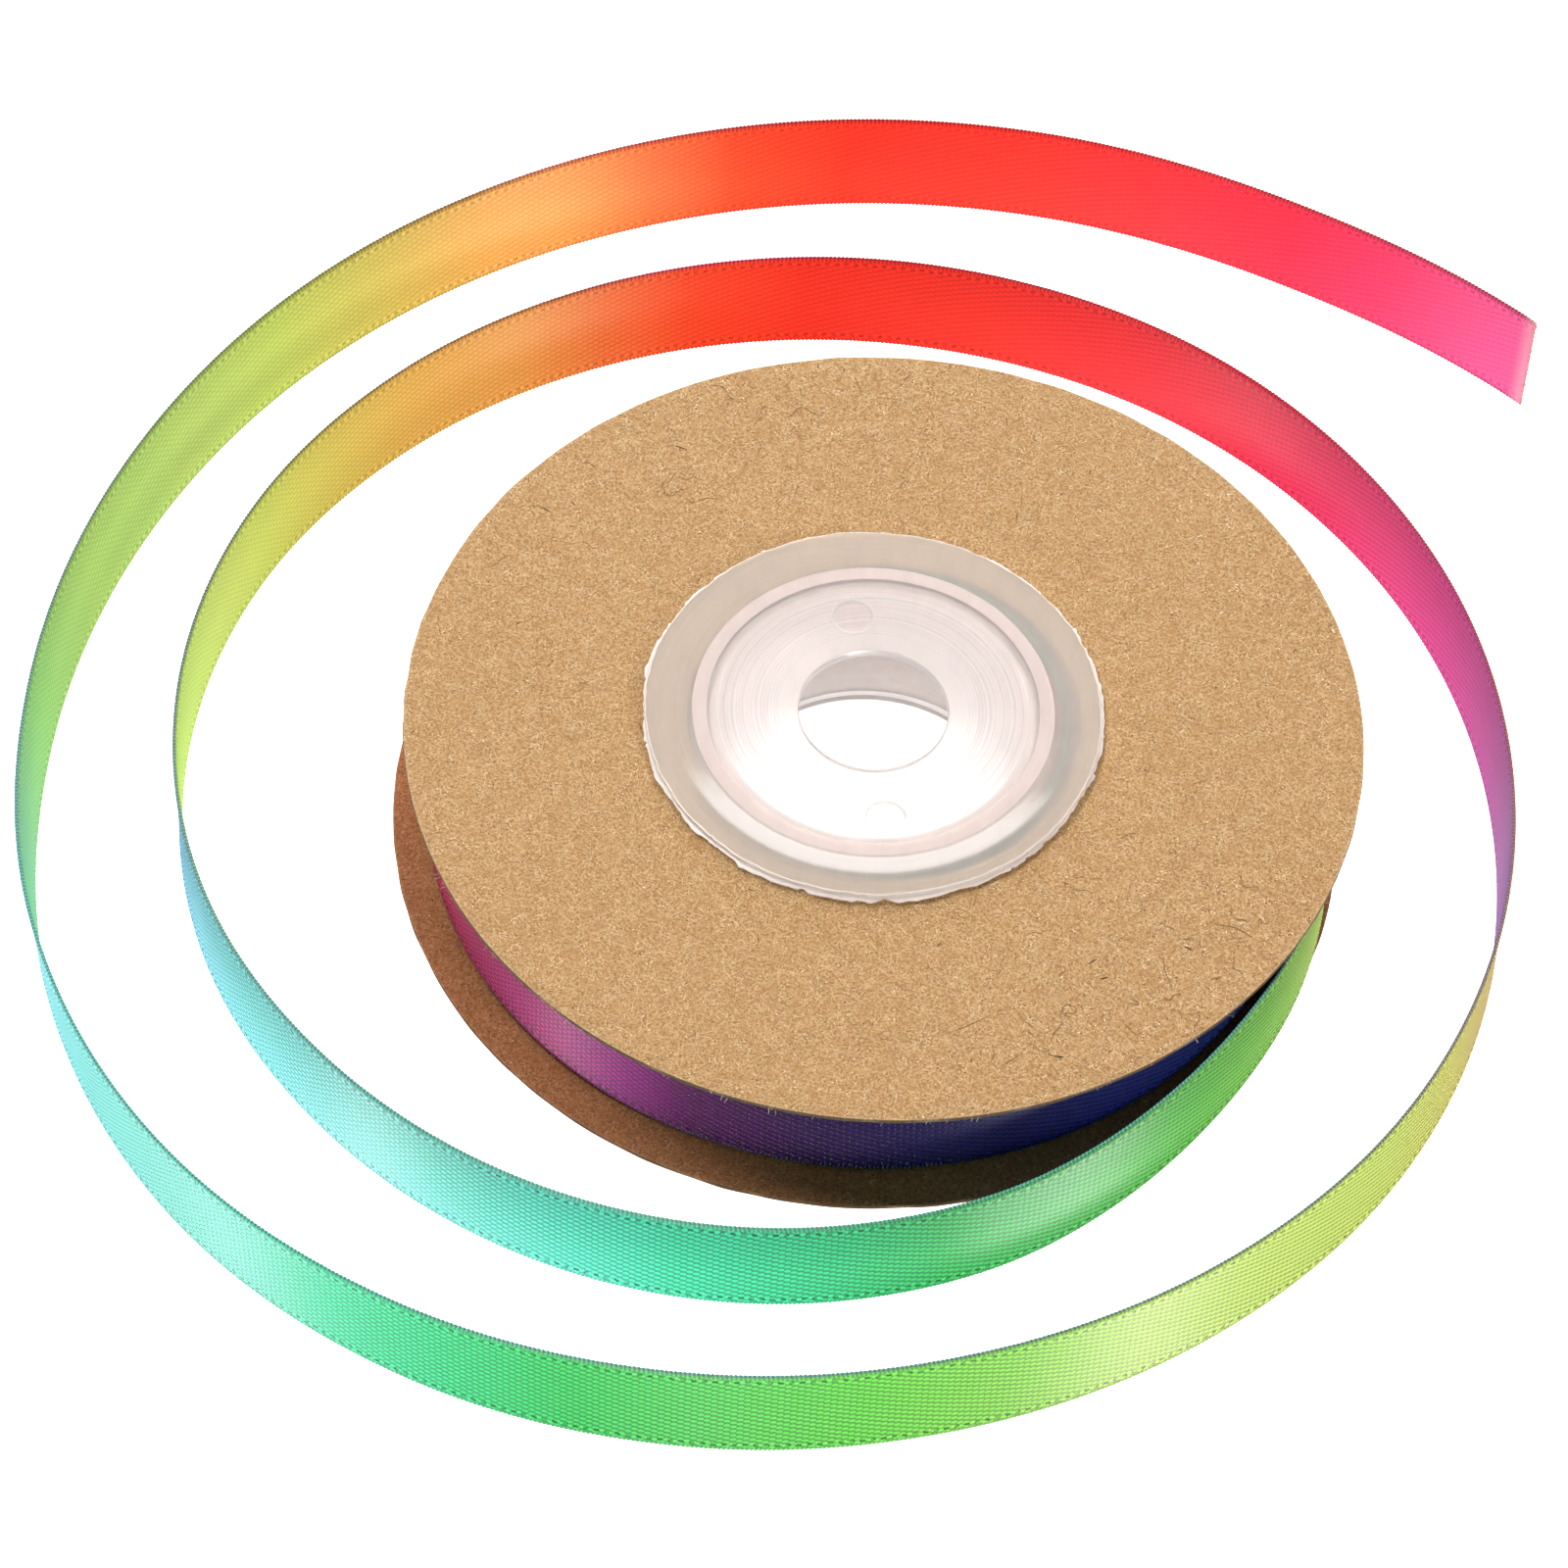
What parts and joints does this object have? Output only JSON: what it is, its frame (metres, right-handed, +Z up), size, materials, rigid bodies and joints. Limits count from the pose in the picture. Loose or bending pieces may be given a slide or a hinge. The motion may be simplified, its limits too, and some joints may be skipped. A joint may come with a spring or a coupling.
{
  "type": "ribbon reel",
  "caption": "Small reel of narrow two-faced rainbow satin ribbon on kraft card discs and a translucent hub, with a loose tail standing on its edge.",
  "frame": {"origin": "on the hub's axis, on the surface that the reel lies on", "axes": "+Z up along the hub's axis; +X to the right and +Y away from the front, with the tail's cut end behind at the right"},
  "size_m": [0.1124, 0.119, 0.013],
  "materials": {
    "clear_plastic": "translucent moulded polypropylene, satin",
    "kraft_card": "uncoated kraft board, fibrous",
    "satin_wound": "polyester satin, printed rainbow",
    "satin_loose": "polyester satin, printed rainbow"
  },
  "bodies": {
    "core": {"hub_cap": "clear_plastic", "hub_base": "clear_plastic", "ribbon_winding": "satin_wound"},
    "upper_card": {"disc_upper": "kraft_card"},
    "lower_card": {"disc_lower": "kraft_card"},
    "tail": {"ribbon_tail": "satin_loose"}
  },
  "joints": [
    {"name": "disc_upper_turn", "type": "hinge", "parent": "core", "child": "upper_card", "pos_m": [0.00085, -0.00035, 0.01195], "axis": [0, 0, 1], "continuous": true},
    {"name": "disc_lower_turn", "type": "hinge", "parent": "core", "child": "lower_card", "pos_m": [-0.0001, -0.0006, 0.00105], "axis": [0, 0, 1], "continuous": true},
    {"name": "unwind", "type": "hinge", "parent": "core", "child": "tail", "pos_m": [0, 0, 0.0065], "axis": [0, 0, 1], "continuous": true}
  ]
}
